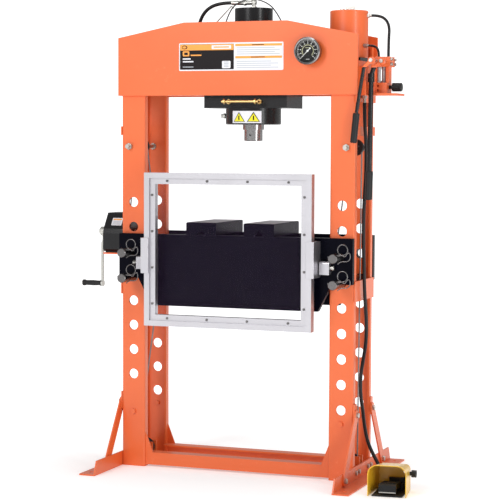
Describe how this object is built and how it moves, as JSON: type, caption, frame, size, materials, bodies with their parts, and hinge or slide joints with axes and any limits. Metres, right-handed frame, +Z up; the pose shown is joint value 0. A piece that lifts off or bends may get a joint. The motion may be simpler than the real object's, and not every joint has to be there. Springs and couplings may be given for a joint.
{
  "type": "hydraulic shop press",
  "caption": "H-frame hydraulic shop press with a moving ram head, winch-lifted pinned bed, sliding clear guard, hand and air pump, gauge and foot pedal",
  "frame": {"origin": "on the floor, at the centre of the four anchor holes, midway between the columns", "axes": "+X to the operator's right, +Y to the rear, +Z up"},
  "size_m": [1.5166, 0.78, 1.895],
  "materials": {
    "orange_paint": "smooth gloss powder coat",
    "black_paint": "gloss black enamel",
    "zinc": "zinc plated steel",
    "chrome": "hard chrome",
    "bright_aluminium": "anodised aluminium extrusion",
    "clear_panel": "clear polycarbonate",
    "gauge_glass": "clear lens",
    "black_rubber": "smooth hose rubber",
    "black_plastic": "moulded black plastic",
    "yellow_paint": "yellow enamel",
    "brass": "brass",
    "white_needle": "white enamel",
    "wire_rope": "galvanised wire rope"
  },
  "bodies": {
    "root": {"air_line": "black_rubber", "base_ties": "orange_paint", "crown_plates": "orange_paint", "crown_spacers": "orange_paint", "feet": "orange_paint", "frame_bolts": "zinc", "gauge_bezel": "chrome", "gauge_case": "black_plastic", "gauge_glass": "gauge_glass", "left_column": "orange_paint", "lift_rope_a": "wire_rope", "lift_rope_b": "wire_rope", "oil_fittings": "black_plastic", "oil_tank": "orange_paint", "pedal_base": "black_plastic", "pedal_hood": "yellow_paint", "pedal_hose": "black_rubber", "pressure_hose": "black_rubber", "pump_body": "orange_paint", "pump_bracket": "orange_paint", "pump_cylinders": "chrome", "pump_screws": "zinc", "right_column": "orange_paint", "suction_hose": "black_rubber", "tank_hose": "black_rubber", "winch_cover": "black_paint", "winch_frame": "zinc", "winch_shelf": "orange_paint"},
    "ram_head": {"carriage_plate": "black_paint", "cylinder_gland": "black_paint", "cylinder_barrel": "black_paint", "head_fittings": "zinc", "carriage_handle": "brass"},
    "ram_rod": {"ram": "chrome"},
    "bed": {"bed_plates": "black_paint", "bed_spacers": "black_paint", "v_blocks": "black_paint", "guard_guides": "bright_aluminium"},
    "upper_pin_l": {"upper_pin_left": "zinc"},
    "upper_pin_r": {"upper_pin_right": "zinc"},
    "lower_pin_l": {"lower_pin_left": "zinc"},
    "lower_pin_r": {"lower_pin_right": "zinc"},
    "guard": {"guard_frame": "bright_aluminium", "guard_panel": "clear_panel", "guard_screws": "zinc"},
    "latch_l": {"latch_plunger_left": "zinc"},
    "latch_r": {"latch_plunger_right": "zinc"},
    "crank": {"winch_drum": "zinc", "crank_arm": "zinc"},
    "grip": {"crank_grip": "black_plastic"},
    "pawl": {"winch_pawl": "zinc"},
    "sheave_tl": {"left_top_sheave": "black_plastic"},
    "sheave_tr": {"right_top_sheave": "black_plastic"},
    "sheave_bl": {"left_bottom_sheave": "black_plastic"},
    "sheave_br": {"right_bottom_sheave": "black_plastic"},
    "pump_lever_a": {"lever_a": "zinc"},
    "pump_lever_b": {"lever_b": "chrome"},
    "valve_knob": {"release_knob": "black_plastic"},
    "needle": {"gauge_needle": "white_needle"},
    "treadle": {"pedal_treadle": "black_plastic"}
  },
  "joints": [
    {"name": "head_slide", "type": "slide", "parent": "root", "child": "ram_head", "axis": [1, 0, 0], "range_m": [-0.09, 0.09], "deforming": ["pressure_hose", "air_line"]},
    {"name": "ram_slide", "type": "slide", "parent": "ram_head", "child": "ram_rod", "axis": [0, 0, -1], "range_m": [0, 0.22]},
    {"name": "bed_slide", "type": "slide", "parent": "root", "child": "bed", "axis": [0, 0, 1], "range_m": [0, 0.1], "deforming": ["lift_rope_a", "lift_rope_b"]},
    {"name": "upper_pin_left_slide", "type": "slide", "parent": "bed", "child": "upper_pin_l", "axis": [0, -1, 0], "range_m": [0, 0.12]},
    {"name": "upper_pin_right_slide", "type": "slide", "parent": "bed", "child": "upper_pin_r", "axis": [0, -1, 0], "range_m": [0, 0.12]},
    {"name": "lower_pin_left_slide", "type": "slide", "parent": "root", "child": "lower_pin_l", "axis": [0, -1, 0], "range_m": [0, 0.34]},
    {"name": "lower_pin_right_slide", "type": "slide", "parent": "root", "child": "lower_pin_r", "axis": [0, -1, 0], "range_m": [0, 0.34]},
    {"name": "guard_slide", "type": "slide", "parent": "bed", "child": "guard", "axis": [0, 0, 1], "range_m": [-0.2, 0.2]},
    {"name": "latch_left_pull", "type": "slide", "parent": "bed", "child": "latch_l", "axis": [-1, 0, 0], "range_m": [0, 0.012], "stiffness_N_per_m": 300},
    {"name": "latch_right_pull", "type": "slide", "parent": "bed", "child": "latch_r", "axis": [1, 0, 0], "range_m": [0, 0.012], "stiffness_N_per_m": 300},
    {"name": "winch_crank", "type": "hinge", "parent": "root", "child": "crank", "pos_m": [-0.64, 0.015, 0.95], "axis": [1, 0, 0], "range_deg": [0, 260.4]},
    {"name": "grip_spin", "type": "hinge", "parent": "crank", "child": "grip", "pos_m": [-0.69, 0.015, 0.732], "axis": [1, 0, 0], "continuous": true},
    {"name": "pawl_lift", "type": "hinge", "parent": "root", "child": "pawl", "pos_m": [-0.59, -0.022, 0.988], "axis": [1, 0, 0], "range_deg": [0, 25]},
    {"name": "top_left_wheel", "type": "hinge", "parent": "root", "child": "sheave_tl", "pos_m": [-0.46, -0.007, 1.304], "axis": [0, 1, 0], "continuous": true},
    {"name": "top_right_wheel", "type": "hinge", "parent": "root", "child": "sheave_tr", "pos_m": [0.46, -0.007, 1.304], "axis": [0, 1, 0], "continuous": true},
    {"name": "bottom_left_wheel", "type": "hinge", "parent": "root", "child": "sheave_bl", "pos_m": [-0.443, -0.007, 0.06], "axis": [0, 1, 0], "continuous": true},
    {"name": "bottom_right_wheel", "type": "hinge", "parent": "root", "child": "sheave_br", "pos_m": [0.443, -0.007, 0.06], "axis": [0, 1, 0], "continuous": true},
    {"name": "lever_a_swing", "type": "hinge", "parent": "root", "child": "pump_lever_a", "pos_m": [0.563, -0.145, 1.638], "axis": [0, -1, 0], "range_deg": [0, 70]},
    {"name": "lever_b_swing", "type": "hinge", "parent": "root", "child": "pump_lever_b", "pos_m": [0.588, -0.092, 1.637], "axis": [0, -1, 0], "range_deg": [0, 70]},
    {"name": "release_turn", "type": "hinge", "parent": "root", "child": "valve_knob", "pos_m": [0.62, 0, 1.539], "axis": [1, 0, 0], "range_deg": [0, 270]},
    {"name": "gauge_reading", "type": "hinge", "parent": "root", "child": "needle", "pos_m": [0.312, -0.165, 1.676], "axis": [0, 1, 0], "range_deg": [0, 270]},
    {"name": "treadle_press", "type": "hinge", "parent": "root", "child": "treadle", "pos_m": [0.6841, -0.22658, 0.022], "axis": [0.9952, 0.0976, 0], "range_deg": [0, 4], "stiffness_Nm_per_rad": 3, "springref_deg": -171.89}
  ],
  "couplings": [
    {"joint": "winch_crank", "follows": "bed_slide", "rad_per_m": 45.448},
    {"joint": "top_left_wheel", "follows": "bed_slide", "rad_per_m": -40},
    {"joint": "top_right_wheel", "follows": "bed_slide", "rad_per_m": -40},
    {"joint": "bottom_left_wheel", "follows": "bed_slide", "rad_per_m": 30.3},
    {"joint": "bottom_right_wheel", "follows": "bed_slide", "rad_per_m": 30.3}
  ]
}
